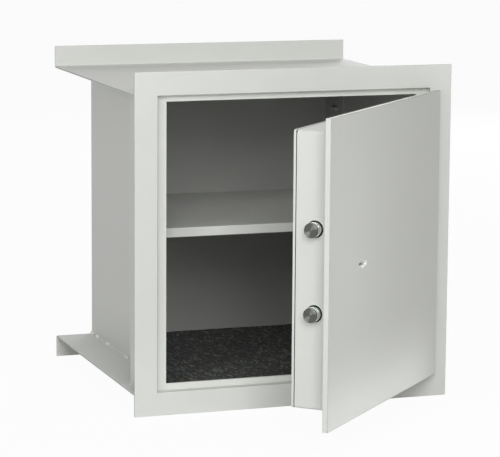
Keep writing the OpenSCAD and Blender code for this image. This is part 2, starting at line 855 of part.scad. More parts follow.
// Round curtain with a key slot, carried by the case in front and the cover behind
module key_curtain() {
    rear_y = lock_cover_y - 0.5;
    disc_t = 2.5;
    color(BRASS) swing() difference() {
        union() {
            y_rod([key_x, case_y + 0.2, 0], curtain_r, rear_y - case_y - 0.2);
            y_rod([key_x, rear_y - EPS, 0], journal_r, lock_cover_y + lock_cover_t + journal_past - rear_y);
        }
        block([key_x - curtain_r - 1, case_y - 1, -curtain_slot / 2],
              [key_x + curtain_r + 1, rear_y - disc_t, curtain_slot / 2]);
    }
}

// One lever in the plane of the lock, x along the lock and y upwards
module lever_outline() {
    difference() {
        union() {
            translate([post_x, post_z]) circle(r = lever_eye_r);
            translate([lever_x0, lever_low]) square([post_x - lever_x0, lever_h]);
        }
        translate([post_x, post_z]) circle(r = post_r + pivot_clear);
        translate([window_x0, window_z0]) square([window_x1 - window_x0, window_z1 - window_z0]);
    }
}

module lever_pack() {
    color(BRASS) swing() for (i = [0 : levers - 1])
        translate([0, lever_y + i * lever_pitch + lever_t, 0]) rotate([90, 0, 0])
            linear_extrude(lever_t) lever_outline();
}

front_frame();
lock_side_lip();
hinge_side_lip();
top_lip();
bottom_lip();
keeper_bar();
lock_side_jamb();
hinge_side_jamb();
lock_side_wall();
hinge_side_wall();
rear_wall();
rear_plate();
top_anchor_plate();
bottom_anchor_plate();
upper_hinge_bracket();
lower_hinge_bracket();
hinge_pins();
shelf_lugs();
floor_mat();
shelf();
door_plate();
bolt_box();
box_cover();
cover_screws();
upper_hinge_arm();
lower_hinge_arm();
hinge_bushes();
hard_plate();
lock_case();
lock_cover();
lock_screws();
lever_post();
bolt_guides();
bar_guides();
bolt_bar();
upper_bolt();
lower_bolt();
bolt_nuts();
lock_bolt();
key_curtain();
lever_pack();
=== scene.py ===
import json
import math

import bmesh
import bpy
from mathutils import Matrix, Vector, noise


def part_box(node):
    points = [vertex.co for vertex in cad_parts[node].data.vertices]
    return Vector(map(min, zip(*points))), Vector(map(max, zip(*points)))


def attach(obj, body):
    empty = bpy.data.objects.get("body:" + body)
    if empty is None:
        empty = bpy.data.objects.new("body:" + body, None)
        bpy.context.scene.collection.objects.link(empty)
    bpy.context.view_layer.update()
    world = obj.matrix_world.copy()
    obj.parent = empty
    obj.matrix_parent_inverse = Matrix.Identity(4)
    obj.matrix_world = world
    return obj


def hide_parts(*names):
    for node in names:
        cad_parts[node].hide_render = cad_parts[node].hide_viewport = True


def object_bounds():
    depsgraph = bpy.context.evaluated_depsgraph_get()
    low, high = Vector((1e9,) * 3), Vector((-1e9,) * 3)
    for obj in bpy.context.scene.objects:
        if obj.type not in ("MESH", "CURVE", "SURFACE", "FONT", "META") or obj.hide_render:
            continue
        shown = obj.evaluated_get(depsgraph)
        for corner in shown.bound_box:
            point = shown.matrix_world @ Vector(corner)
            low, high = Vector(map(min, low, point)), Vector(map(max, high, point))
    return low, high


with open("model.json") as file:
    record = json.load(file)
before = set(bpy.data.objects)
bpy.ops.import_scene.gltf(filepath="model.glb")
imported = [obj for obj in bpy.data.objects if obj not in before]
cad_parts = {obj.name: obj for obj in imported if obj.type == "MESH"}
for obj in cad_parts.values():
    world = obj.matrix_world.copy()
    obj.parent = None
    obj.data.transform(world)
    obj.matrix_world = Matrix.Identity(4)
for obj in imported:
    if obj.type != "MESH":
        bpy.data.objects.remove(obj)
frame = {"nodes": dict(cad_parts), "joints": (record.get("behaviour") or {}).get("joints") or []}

cad_box = [list(corner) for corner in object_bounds()]

# The view: a long lens on a stand at the left of the safe, a little above it,
# with the door open towards it.
LENS_MM = 177.01
SENSOR_MM = 36
VIEW_REACH = 200
CAMERA_PLACE = (-1.0593, -2.8598, 0.5078)
CAMERA_TURN = -19.28
CAMERA_DIP = 9.23
CAMERA_TILT = 0.41


def added(name, data):
    """A new object in the scene."""
    made = bpy.data.objects.new(name, data)
    bpy.context.scene.collection.objects.link(made)
    return made


camera = added("camera", bpy.data.cameras.new("camera"))
camera.data.sensor_width = SENSOR_MM
camera.data.lens = LENS_MM
camera.data.clip_end = VIEW_REACH
camera.matrix_world = (
    Matrix.Translation(CAMERA_PLACE)
    @ Matrix.Rotation(math.radians(CAMERA_TURN), 4, "Z")
    @ Matrix.Rotation(math.radians(90 - CAMERA_DIP), 4, "X")
    @ Matrix.Rotation(math.radians(CAMERA_TILT), 4, "Z")
)
bpy.context.scene.camera = camera
bpy.context.scene.view_settings.view_transform = "Standard"

# The studio: a white room with one large soft box in front and above, a low one
# behind the camera, weak ones round it, a strip and a narrow fill lamp close to the
# open door, and two behind for the rear of the body.
ROOM_LIGHT = 0.18
WHITE = (1, 1, 1, 1)
FULL_SPREAD = 180
SOFT_BOXES = {
    "front_soft_box": {"from": (-0.9, -3.0, 1.6), "size": (1.6, 1.2), "watts": 49},
    "low_front_soft_box": {"from": (-0.6, -3.2, 0.7), "size": (1.2, 0.8), "watts": 13},
    "left_soft_box": {"from": (-1.5, -1.3, 0.6), "size": (0.6, 0.6), "watts": 7},
    "upper_right_soft_box": {"from": (0.3, -2.4, 1.6), "size": (1.2, 1.0), "watts": 4.6},
    "top_soft_box": {"from": (0.0, -0.6, 2.2), "size": (1.0, 1.0), "watts": 5.8},
    "door_strip": {
        "from": (0.125, -0.243, -0.205), "at": (0.042, -0.163, -0.175),
        "size": (0.35, 0.03), "watts": 0.031, "spread": 70,
    },
    "door_fill": {
        "from": (0.25, -0.55, 0.08), "at": (-0.02, -0.24, 0),
        "size": (0.1, 0.35), "watts": 0.026, "spread": 55,
    },
    "rear_left_soft_box": {"from": (-1.6, 2.8, 0.9), "size": (1.2, 1.2), "watts": 11},
    "rear_right_soft_box": {"from": (1.8, 2.6, 0.9), "size": (1.2, 1.2), "watts": 26},
}


def worked_out(nodes, links, operation, *values):
    """Result socket of a Math node on these sockets and numbers."""
    step = nodes.new("ShaderNodeMath")
    step.operation = operation
    for entry, value in zip(step.inputs, values):
        if isinstance(value, bpy.types.NodeSocket):
            links.new(value, entry)
        else:
            entry.default_value = value
    return step.outputs[0]


def seen_directly(nodes, links):
    """Value socket that is 1 where the camera, a reflection or a glass sees the surface."""
    path = nodes.new("ShaderNodeLightPath")
    total = path.outputs["Is Camera Ray"]
    for ray in ("Is Glossy Ray", "Is Transmission Ray"):
        total = worked_out(nodes, links, "MAXIMUM", total, path.outputs[ray])
    return total


room = bpy.data.worlds.new("white_room")
room.use_nodes = True
bpy.context.scene.world = room
nodes, links = room.node_tree.nodes, room.node_tree.links
nodes.clear()
which = nodes.new("ShaderNodeMixShader")
links.new(seen_directly(nodes, links), which.inputs["Fac"])
for entry, strength in ((1, ROOM_LIGHT), (2, 1)):
    backdrop = nodes.new("ShaderNodeBackground")
    backdrop.inputs["Color"].default_value = WHITE
    backdrop.inputs["Strength"].default_value = strength
    links.new(backdrop.outputs[0], which.inputs[entry])
links.new(which.outputs[0], nodes.new("ShaderNodeOutputWorld").inputs["Surface"])

for name, box in SOFT_BOXES.items():
    lamp = bpy.data.lights.new(name, "AREA")
    lamp.shape = "RECTANGLE"
    lamp.size, lamp.size_y = box["size"]
    lamp.energy = box["watts"]
    lamp.spread = math.radians(box.get("spread", FULL_SPREAD))
    holder = added(name, lamp)
    holder.location = box["from"]
    aim = Vector(box.get("at", (0, 0, 0))) - Vector(box["from"])
    holder.rotation_euler = aim.to_track_quat("-Z", "Y").to_euler()
    holder.visible_camera = False

# The floor that the safe stands on before it is built in: white paper that takes
# only a faint shadow.
FLOOR_HALF = 60
FLOOR_GAP = 0.0005
FLOOR_SHADE = 0.045
PAPER_WHITE = (0.8, 0.8, 0.8, 1)

floor_z = cad_box[0][2] - FLOOR_GAP
floor_mesh = bpy.data.meshes.new("paper_floor")
floor_mesh.from_pydata(
    [(x * FLOOR_HALF, y * FLOOR_HALF, floor_z) for x, y in ((-1, -1), (1, -1), (1, 1), (-1, 1))],
    [],
    [(0, 1, 2, 3)],
)
paper_floor = added("paper_floor", floor_mesh)
paper = bpy.data.materials.new("white_paper")
paper.use_nodes = True
nodes, links = paper.node_tree.nodes, paper.node_tree.links
nodes.clear()
matt = nodes.new("ShaderNodeBsdfDiffuse")
matt.inputs["Color"].default_value = PAPER_WHITE
bright = nodes.new("ShaderNodeEmission")
blend = nodes.new("ShaderNodeMixShader")
share = worked_out(nodes, links, "MULTIPLY", seen_directly(nodes, links), 1 - FLOOR_SHADE)
links.new(share, blend.inputs["Fac"])
links.new(matt.outputs[0], blend.inputs[1])
links.new(bright.outputs[0], blend.inputs[2])
links.new(blend.outputs[0], nodes.new("ShaderNodeOutputMaterial").inputs["Surface"])
floor_mesh.materials.append(paper)

# Front frame: one flat 3 mm sheet with the two side returns of the rebate folded in,
# powder coated light grey after welding. Its edges are rounded by the coat.
COAT = (0.668, 0.680, 0.648)
COAT_GRAIN = 1500
COAT_PATCHINESS = 0.04
COAT_ROUGHNESS = (0.42, 0.62)
COAT_SHINE = 0.35
CLOUD_SCALE = 22
PEEL_STRENGTH = 0.5
PEEL_DEPTH = 0.00006
# How much darker a face mark of 1 paints the coat: painted shade, or painted light where the mark is below 0.
PAINTED_MARK_STRENGTH = 0.38
# Lowest and highest corner of the space within the body.
INSIDE = ((-0.1565, 0.012, -0.1857), (0.1755, 0.36, 0.1857))
# How much darker the coat is painted within the body: painted shade.
INSIDE_PAINTED_SHADE = 0.38
FRAME_ROUND = 0.0006
# A face narrower than FLAT_WIDTH belongs to an edge: wider than CUT_WIDTH it is the cut
# edge of a sheet, and narrower it is the rounding beside it.
FLAT_WIDTH = 0.0035
CUT_WIDTH = 0.0009
# Painted shade at the frame's arris beside the rebate returns, for the shade on the lip at the frame's edge.
ARRIS_PAINTED_SHADE = 1.8
FOLD_STEPS = 5
FOLD_ANGLE = math.radians(60)
FOLD_REACH = 1.5
PARALLEL = 0.999
MERGE_GAP = 1e-6
LEVEL_ANGLE = math.radians(0.5)
EDGE_ANGLE = math.radians(35)
SHADE_ANGLE = math.radians(21)


def ranged(nodes, links, value, span):
    """Socket that takes a value from 0 to 1 over to this span."""
    change = nodes.new("ShaderNodeMapRange")
    change.inputs["To Min"].default_value, change.inputs["To Max"].default_value = span
    links.new(value, change.inputs["Value"])
    return change.outputs["Result"]


def grain_group():
    """Node group: fine orange-peel grain of a powder coat, as a height and a slight change of tone, with the
    painted light and shade of the face marks and painted shade within the body.
    """
    group = bpy.data.node_groups.new("powder_grain", "ShaderNodeTree")
    face = group.interface
    grains = face.new_socket("Grains per metre", in_out="INPUT", socket_type="NodeSocketFloat")
    grains.default_value = COAT_GRAIN
    tint = face.new_socket("Colour", in_out="INPUT", socket_type="NodeSocketColor")
    tint.default_value = (*COAT, 1)
    patchy = face.new_socket("Patchiness", in_out="INPUT", socket_type="NodeSocketFloat")
    patchy.default_value = COAT_PATCHINESS
    inside_painted_shade = face.new_socket("Inside painted shade", in_out="INPUT", socket_type="NodeSocketFloat")
    inside_painted_shade.default_value = 0
    face.new_socket("Colour", in_out="OUTPUT", socket_type="NodeSocketColor")
    face.new_socket("Height", in_out="OUTPUT", socket_type="NodeSocketFloat")
    face.new_socket("Roughness", in_out="OUTPUT", socket_type="NodeSocketFloat")
    nodes, links = group.nodes, group.links
    given = nodes.new("NodeGroupInput")
    result = nodes.new("NodeGroupOutput")
    place = nodes.new("ShaderNodeTexCoord")
    peel = nodes.new("ShaderNodeTexNoise")
    peel.inputs["Detail"].default_value = 2
    links.new(place.outputs["Object"], peel.inputs["Vector"])
    links.new(given.outputs["Grains per metre"], peel.inputs["Scale"])
    links.new(peel.outputs["Fac"], result.inputs["Height"])
    cloud = nodes.new("ShaderNodeTexNoise")
    cloud.inputs["Scale"].default_value = CLOUD_SCALE
    cloud.inputs["Detail"].default_value = 3
    links.new(place.outputs["Object"], cloud.inputs["Vector"])
    both = worked_out(nodes, links, "ADD", peel.outputs["Fac"], cloud.outputs["Fac"])
    centred = worked_out(nodes, links, "SUBTRACT", both, 1)
    change = worked_out(nodes, links, "MULTIPLY_ADD", centred, given.outputs["Patchiness"], 1)
    # Painted light and shade from the face marks.
    edge = nodes.new("ShaderNodeAttribute")
    edge.attribute_name = "painted_light_and_shade"
    painted_tone = worked_out(nodes, links, "MULTIPLY_ADD", edge.outputs["Fac"], -PAINTED_MARK_STRENGTH, change)
    reach = nodes.new("ShaderNodeMapping")
    reach.vector_type = "TEXTURE"
    reach.inputs["Location"].default_value = [(low + high) / 2 for low, high in zip(*INSIDE)]
    reach.inputs["Scale"].default_value = [(high - low) / 2 for low, high in zip(*INSIDE)]
    links.new(place.outputs["Object"], reach.inputs["Vector"])
    sides = nodes.new("ShaderNodeSeparateXYZ")
    links.new(reach.outputs["Vector"], sides.inputs["Vector"])
    # Painted shade within the body.
    inside_shade = given.outputs["Inside painted shade"]
    for axis in "XYZ":
        near = worked_out(nodes, links, "COMPARE", sides.outputs[axis], 0, 1)
        inside_shade = worked_out(nodes, links, "MULTIPLY", near, inside_shade)
    left = worked_out(nodes, links, "SUBTRACT", painted_tone, inside_shade)
    toned = nodes.new("ShaderNodeVectorMath")
    toned.operation = "SCALE"
    links.new(given.outputs["Colour"], toned.inputs[0])
    links.new(left, toned.inputs["Scale"])
    links.new(toned.outputs[0], result.inputs["Colour"])
    links.new(ranged(nodes, links, cloud.outputs["Fac"], COAT_ROUGHNESS), result.inputs["Roughness"])
    return group


powder_grain = grain_group()


def surface(name):
    """A new material, with its nodes, its links and its shader."""
    material = bpy.data.materials.new(name)
    material.use_nodes = True
    nodes = material.node_tree.nodes
    return material, nodes, material.node_tree.links, nodes["Principled BSDF"]


def raised(nodes, links, height, strength, depth, shader):
    """Bump on a shader from this height."""
    bump = nodes.new("ShaderNodeBump")
    bump.inputs["Strength"].default_value = strength
    bump.inputs["Distance"].default_value = depth
    links.new(height, bump.inputs["Height"])
    links.new(bump.outputs["Normal"], shader.inputs["Normal"])


def powder_coat(name, colour, grains=COAT_GRAIN, peel_depth=PEEL_DEPTH, inside_painted_shade=0):
    """Material: powder coat of one colour, painted darker within the body by inside_painted_shade, as painted
    shade.
    """
    material, nodes, links, coat = surface(name)
    coat.inputs["Specular IOR Level"].default_value = COAT_SHINE
    grain = nodes.new("ShaderNodeGroup")
    grain.node_tree = powder_grain
    grain.inputs["Grains per metre"].default_value = grains
    grain.inputs["Colour"].default_value = (*colour, 1)
    grain.inputs["Patchiness"].default_value = COAT_PATCHINESS
    grain.inputs["Inside painted shade"].default_value = inside_painted_shade
    links.new(grain.outputs["Colour"], coat.inputs["Base Color"])
    links.new(grain.outputs["Roughness"], coat.inputs["Roughness"])
    raised(nodes, links, grain.outputs["Height"], PEEL_STRENGTH, peel_depth, coat)
    return material


def face_width(mesh, polygon):
    """How wide a face is across its longest edge."""
    places = [mesh.vertices[i].co for i in polygon.vertices]
    return polygon.area / max((a - b).length for a, b in zip(places, places[1:] + places[:1]))


def edge_line(edge):
    """Direction of an edge."""
    return (edge.verts[1].co - edge.verts[0].co).normalized()


def is_fold(edge):
    """Whether two faces of a sheet meet at this edge at a clear angle."""
    return len(edge.link_faces) == 2 and edge.calc_face_angle(0) > FOLD_ANGLE


def rolled(shape, edges, radius):
    """Rounds these edges to a radius, in a few steps."""
    bmesh.ops.bevel(
        shape, geom=edges, offset=radius, offset_type="OFFSET",
        segments=FOLD_STEPS, profile=0.5, affect="EDGES",
    )


def bent(shape, inner, outer):
    """Rounds the folds of a sheet: its hollow corners, and the outer corners that run beside them."""
    def beside(edge, hollow):
        across = (edge.verts[0].co + edge.verts[1].co - hollow.verts[0].co - hollow.verts[1].co) / 2
        along = edge_line(hollow)
        apart = (across - along * across.dot(along)).length
        return abs(edge_line(edge).dot(along)) > PARALLEL and apart < outer * FOLD_REACH

    hollows = [e for e in shape.edges if is_fold(e) and not e.is_convex]
    crests = [e for e in shape.edges if is_fold(e) and e.is_convex and any(beside(e, h) for h in hollows)]
    rolled(shape, crests, outer)
    rolled(shape, hollows, inner)


def round_corners(shape, along, radius):
    """Rounds the outer corners of a sheet that run along one direction."""
    turns = [e for e in shape.edges if is_fold(e) and e.is_convex and abs(edge_line(e).dot(along)) > PARALLEL]
    rolled(shape, turns, radius)


def settled(piece):
    """Applies a piece's modifiers and leaves it a plain mesh."""
    graph = bpy.context.evaluated_depsgraph_get()
    mesh = bpy.data.meshes.new_from_object(piece.evaluated_get(graph), depsgraph=graph)
    piece.modifiers.clear()
    piece.data = mesh
    return mesh


def paint_light_and_shade(piece, painted_marks):
    """Paints light and shade on a piece face by face: more than 0 is painted shade, less than 0 is painted
    light.
    """
    marks = piece.data.attributes.new("painted_light_and_shade", "FLOAT", "FACE")
    marks.data.foreach_set("value", painted_marks)


def rounded(node, radius, material, body, segments=2, fold=None, corners=None, cut_edges=False):
    """Stands for a CAD node: the same solid with its sharp edges rounded.

    A fold is its inner and outer radius; corners are their direction and radius. With
    cut_edges, the cut edges of the sheet are painted darker, as painted shade.
    """
    source = frame["nodes"][node]
    shape = bmesh.new()
    shape.from_mesh(source.data)
    bmesh.ops.remove_doubles(shape, verts=shape.verts, dist=MERGE_GAP)
    bmesh.ops.dissolve_limit(
        shape, angle_limit=LEVEL_ANGLE, verts=shape.verts, edges=shape.edges, delimit={"NORMAL"}
    )
    bmesh.ops.recalc_face_normals(shape, faces=shape.faces)
    if fold:
        bent(shape, *fold)
    if corners:
        round_corners(shape, *corners)
    mesh = bpy.data.meshes.new(node + "_rounded")
    shape.to_mesh(mesh)
    shape.free()
    mesh.polygons.foreach_set("use_smooth", [True] * len(mesh.polygons))
    piece = added(node + "_rounded", mesh)
    edge = piece.modifiers.new("edge", "BEVEL")
    edge.width = radius
    edge.segments = segments
    edge.limit_method = "ANGLE"
    edge.angle_limit = EDGE_ANGLE
    finished = settled(piece)
    finished.set_sharp_from_angle(angle=SHADE_ANGLE)
    widths = [face_width(finished, polygon) for polygon in finished.polygons]
    finished.polygons.foreach_set("use_smooth", [width < FLAT_WIDTH for width in widths])
    # Painted shade: the cut edges of the sheet are painted darker.
    if cut_edges:
        paint_light_and_shade(piece, [float(CUT_WIDTH < width < FLAT_WIDTH) for width in widths])
    finished.materials.clear()
    finished.materials.append(material)
    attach(piece, body)
    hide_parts(node)
    return piece


light_grey_coat = powder_coat("light_grey_powder_coat", COAT)
# Its cut edges are painted darker, as painted shade.
front_frame = rounded("front_frame", FRAME_ROUND, light_grey_coat, "housing", cut_edges=True)
# Painted shade: the rounding of the frame's arris beside each rebate return is painted dark, for the shade on
# the lip at the frame's edge.
return_x = min(abs(v.co.x) for v in frame["nodes"]["front_frame"].data.vertices)
arris_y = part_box("front_frame")[0].y + FRAME_ROUND
for polygon, mark in zip(front_frame.data.polygons, front_frame.data.attributes["painted_light_and_shade"].data):
    beside_return = return_x < abs(polygon.center.x) < return_x + FRAME_ROUND
    if beside_return and polygon.center.y < arris_y and face_width(front_frame.data, polygon) < CUT_WIDTH:
        mark.value = ARRIS_PAINTED_SHADE

# Lips of the rebate: four 3 mm strips that the shut door rests against, with the
# solid keeper bar welded behind the lock-side one.
LIP_ROUND = 0.0004
# The lips' coat is painted lighter than the frame's, as painted light.
LIP_PAINTED_LIGHT_COAT = (0.722, 0.735, 0.700)

lip_coat_painted_light = powder_coat("lip_powder_coat_painted_light", LIP_PAINTED_LIGHT_COAT)
for lip in ("lock_side_lip", "hinge_side_lip", "top_lip", "bottom_lip"):
    rounded(lip, LIP_ROUND, lip_coat_painted_light, "housing")
rounded("keeper_bar", LIP_ROUND, light_grey_coat, "housing")

# Body: jambs, side walls, rear wall and its outer skin, all folded or cut sheet with one
# grey coat, painted darker within the body than outside it as painted shade.
SHEET_ROUND = 0.0005

body_coat_shaded_inside = powder_coat("body_powder_coat_painted_shade", COAT, inside_painted_shade=INSIDE_PAINTED_SHADE)
for sheet in ("lock_side_jamb", "hinge_side_jamb", "lock_side_wall", "hinge_side_wall", "rear_plate"):
    rounded(sheet, SHEET_ROUND, body_coat_shaded_inside, "housing")
rounded("rear_wall", SHEET_ROUND, body_coat_shaded_inside, "housing")
rounded("shelf_lugs", SHEET_ROUND, body_coat_shaded_inside, "housing")

# Anchor plates: roof and floor of the body, one sheet each, folded once at the rear
# so that mortar holds them.
PLATE_ROUND = 0.0005
PLATE_FOLD = (0.0015, 0.0042)

# Their cut edges are painted darker, as painted shade.
for plate in ("top_anchor_plate", "bottom_anchor_plate"):
    rounded(plate, PLATE_ROUND, body_coat_shaded_inside, "housing", fold=PLATE_FOLD, cut_edges=True)

# Welds: tacks and thin ragged seams where the walls and jambs meet the anchor plates,
# and two short beads at the top lip, all painted over with everything else; the tacks'
# coat is painted lighter, as painted highlight.
BEAD_PITCH = 0.0011
BEAD_RADIUS = 0.0007
BEAD_ENDS = 0.0012
TACK_PITCH = 0.0019
TACK_RADIUS = 0.0024
TACK_LENGTH = 0.004
TACK_PROUD = 0.0012
# Painted highlight: the tacks' coat is lighter than the body's.
TACK_PAINTED_HIGHLIGHT_COAT = (0.80, 0.81, 0.78)
TACK_PLACES = (0.370, 0.344, 0.292, 0.202, 0.110)
TACK_GRAIN = 900
TACK_PEEL = 0.0002
LIP_BEAD_STARTS = (0.004, 0.018)
LIP_BEAD_LENGTH = 0.012
DROP_SIZES = (0.75, 1.25)
DROP_SEED = 5


def weld_tree():
    """Geometry Nodes: overlapping drops of weld metal along every edge of a mesh."""
    tree = bpy.data.node_groups.new("weld_beads", "GeometryNodeTree")
    face = tree.interface
    face.new_socket("Geometry", in_out="INPUT", socket_type="NodeSocketGeometry")
    pitch = face.new_socket("Pitch", in_out="INPUT", socket_type="NodeSocketFloat")
    pitch.default_value = BEAD_PITCH
    drop_radius = face.new_socket("Drop radius", in_out="INPUT", socket_type="NodeSocketFloat")
    drop_radius.default_value = BEAD_RADIUS
    face.new_socket("Finish", in_out="INPUT", socket_type="NodeSocketMaterial")
    face.new_socket("Geometry", in_out="OUTPUT", socket_type="NodeSocketGeometry")
    nodes, links = tree.nodes, tree.links
    given = nodes.new("NodeGroupInput")
    result = nodes.new("NodeGroupOutput")
    line = nodes.new("GeometryNodeMeshToCurve")
    spaced = nodes.new("GeometryNodeResampleCurve")
    spaced.mode = "LENGTH"
    drop = nodes.new("GeometryNodeMeshIcoSphere")
    drop.inputs["Subdivisions"].default_value = 2
    size = nodes.new("FunctionNodeRandomValue")
    size.data_type = "FLOAT"
    size.inputs["Min"].default_value, size.inputs["Max"].default_value = DROP_SIZES
    size.inputs["Seed"].default_value = DROP_SEED
    placed = nodes.new("GeometryNodeInstanceOnPoints")
    solid = nodes.new("GeometryNodeRealizeInstances")
    smooth = nodes.new("GeometryNodeSetShadeSmooth")
    painted = nodes.new("GeometryNodeSetMaterial")
    links.new(given.outputs["Geometry"], line.inputs["Mesh"])
    links.new(line.outputs["Curve"], spaced.inputs["Curve"])
    links.new(given.outputs["Pitch"], spaced.inputs["Length"])
    links.new(given.outputs["Drop radius"], drop.inputs["Radius"])
    links.new(spaced.outputs["Curve"], placed.inputs["Points"])
    links.new(drop.outputs["Mesh"], placed.inputs["Instance"])
    links.new(size.outputs["Value"], placed.inputs["Scale"])
    links.new(placed.outputs["Instances"], solid.inputs["Geometry"])
    links.new(solid.outputs["Geometry"], smooth.inputs["Geometry"])
    links.new(smooth.outputs["Geometry"], painted.inputs["Geometry"])
    links.new(given.outputs["Finish"], painted.inputs["Material"])
    links.new(painted.outputs["Geometry"], result.inputs["Geometry"])
    return tree


def grown(piece, tree, **inputs):
    """Runs a Geometry Nodes tree on a piece with these inputs and leaves a plain mesh."""
    maker = piece.modifiers.new("maker", "NODES")
    maker.node_group = tree
    sockets = {s.name: s.identifier for s in tree.interface.items_tree if s.in_out == "INPUT"}
    for name, value in inputs.items():
        maker[sockets[name.replace("_", " ")]] = value
    settled(piece)


lock_wall_low, lock_wall_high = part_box("lock_side_wall")
hinge_wall_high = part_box("hinge_side_wall")[1]
lock_jamb_low, lock_jamb_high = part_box("lock_side_jamb")
hinge_jamb_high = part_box("hinge_side_jamb")[1]
top_lip_low, top_lip_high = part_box("top_lip")
tacks, beads = [], []
for up, z in ((1, lock_wall_low.z), (-1, lock_wall_high.z)):
    for out, x in ((-1, lock_wall_low.x), (1, hinge_wall_high.x)):
        beads.append(((x, lock_jamb_high.y, z), (x, lock_wall_high.y - BEAD_ENDS, z)))
        proud_x, proud_z = x + out * TACK_PROUD, z + up * TACK_PROUD
        for y in TACK_PLACES:
            tacks.append(((proud_x, y - TACK_LENGTH / 2, proud_z), (proud_x, y + TACK_LENGTH / 2, proud_z)))
    for x in (lock_jamb_low.x, hinge_jamb_high.x):
        beads.append(((x, BEAD_ENDS, z), (x, lock_jamb_high.y, z)))
for start in LIP_BEAD_STARTS:
    x = top_lip_low.x + start
    beads.append(((x, top_lip_high.y, top_lip_low.z), (x + LIP_BEAD_LENGTH, top_lip_high.y, top_lip_low.z)))
tack_coat_painted_highlight = powder_coat("tack_coat_painted_highlight", TACK_PAINTED_HIGHLIGHT_COAT, grains=TACK_GRAIN, peel_depth=TACK_PEEL)
beading = weld_tree()
for name, lines, pitch, radius, finish in (
    ("weld_tacks", tacks, TACK_PITCH, TACK_RADIUS, tack_coat_painted_highlight),
    ("weld_seams", beads, BEAD_PITCH, BEAD_RADIUS, body_coat_shaded_inside),
):
    route = bpy.data.meshes.new(name)
    ends = [end for line in lines for end in line]
    route.from_pydata(ends, [(2 * i, 2 * i + 1) for i in range(len(lines))], [])
    weld = added(name, route)
    grown(weld, beading, Pitch=pitch, Drop_radius=radius, Finish=finish)
    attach(weld, "housing")

# Floor mat: 3 mm needle felt, dark grey with lighter fibres, cut to the floor and laid
# on it loose. Its top is a little uneven and droops at the rim.
FELT = (0.012, 0.013, 0.011)
FELT_FLECKS = ((0.200, 0.170, 0.130), (0.130, 0.165, 0.150))
FELT_CELL = 0.0022
FELT_ROUGHNESS = 0.95
FELT_SHINE = 0.1
FELT_SHEEN = 0.1
FIBRE_SCALE = 180
FIBRE_STRETCH = (1, 0.35, 1)
FIBRE_CURL = 1.5
FIBRE_SHARE = (0.51, 0.66)
FLECK_SCALE = 80
FLECK_SPLIT = (0.40, 0.50)
PILE_STRENGTH = 0.8
PILE_DEPTH = 0.0006
MAT_SINK = 0.0004
MAT_LUMPS = (
    {"scale": 45, "height": 0.0003, "layer": 0},
    {"scale": 400, "height": 0.00015, "layer": 3},
)
MAT_DROOP = 0.0007
DROOP_RATE = 260
MAT_SHADE_ANGLE = math.radians(50)


def felt():
    """Material: dark needle felt with short lighter fibres, some brown and some green-grey."""
    material, nodes, links, cloth = surface("dark_felt")
    cloth.inputs["Roughness"].default_value = FELT_ROUGHNESS
    cloth.inputs["Specular IOR Level"].default_value = FELT_SHINE
    cloth.inputs["Sheen Weight"].default_value = FELT_SHEEN
    place = nodes.new("ShaderNodeTexCoord")
    stretch = nodes.new("ShaderNodeMapping")
    stretch.inputs["Scale"].default_value = FIBRE_STRETCH
    fibre = nodes.new("ShaderNodeTexNoise")
    fibre.inputs["Scale"].default_value = FIBRE_SCALE
    fibre.inputs["Detail"].default_value = 4
    fibre.inputs["Distortion"].default_value = FIBRE_CURL
    sort = nodes.new("ShaderNodeTexNoise")
    sort.inputs["Scale"].default_value = FLECK_SCALE
    kinds = nodes.new("ShaderNodeValToRGB")
    for stop, split, fleck in zip(kinds.color_ramp.elements, FLECK_SPLIT, FELT_FLECKS):
        stop.position = split
        stop.color = (*fleck, 1)
    amount = nodes.new("ShaderNodeMapRange")
    amount.inputs["From Min"].default_value, amount.inputs["From Max"].default_value = FIBRE_SHARE
    tone = nodes.new("ShaderNodeMix")
    tone.data_type = "RGBA"
    tone.inputs["A"].default_value = (*FELT, 1)
    links.new(place.outputs["Object"], stretch.inputs["Vector"])
    links.new(stretch.outputs["Vector"], fibre.inputs["Vector"])
    links.new(place.outputs["Object"], sort.inputs["Vector"])
    links.new(sort.outputs["Fac"], kinds.inputs["Fac"])
    links.new(fibre.outputs["Fac"], amount.inputs["Value"])
    links.new(amount.outputs["Result"], tone.inputs["Factor"])
    links.new(kinds.outputs["Color"], tone.inputs["B"])
    links.new(tone.outputs["Result"], cloth.inputs["Base Color"])
    raised(nodes, links, fibre.outputs["Fac"], PILE_STRENGTH, PILE_DEPTH, cloth)
    return material


mat_low, mat_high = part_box("floor_mat")
across = round((mat_high.x - mat_low.x) / FELT_CELL)
deep = round((mat_high.y - mat_low.y) / FELT_CELL)
mat_shape = bmesh.new()
bmesh.ops.create_grid(mat_shape, x_segments=across, y_segments=deep, size=0.5)
for v in mat_shape.verts:
    rim = min(0.5 - abs(v.co.x), 0.5 - abs(v.co.y))
    x = mat_low.x + (v.co.x + 0.5) * (mat_high.x - mat_low.x)
    y = mat_low.y + (v.co.y + 0.5) * (mat_high.y - mat_low.y)
    lump = sum(noise.noise(Vector((x, y, k["layer"])) * k["scale"]) * k["height"] for k in MAT_LUMPS)
    droop = MAT_DROOP * math.exp(-rim * DROOP_RATE)
    v.co = Vector((x, y, mat_high.z - MAT_SINK + lump - droop))
walls = bmesh.ops.extrude_edge_only(mat_shape, edges=[e for e in mat_shape.edges if e.is_boundary])
for v in walls["geom"]:
    if isinstance(v, bmesh.types.BMVert):
        v.co.z = mat_low.z
bmesh.ops.contextual_create(mat_shape, geom=[e for e in mat_shape.edges if e.is_boundary])
bmesh.ops.recalc_face_normals(mat_shape, faces=mat_shape.faces)
mat_mesh = bpy.data.meshes.new("felt_mat")
mat_shape.to_mesh(mat_mesh)
mat_shape.free()
mat_mesh.polygons.foreach_set("use_smooth", [True] * len(mat_mesh.polygons))
mat_mesh.set_sharp_from_angle(angle=MAT_SHADE_ANGLE)
mat_mesh.materials.append(felt())
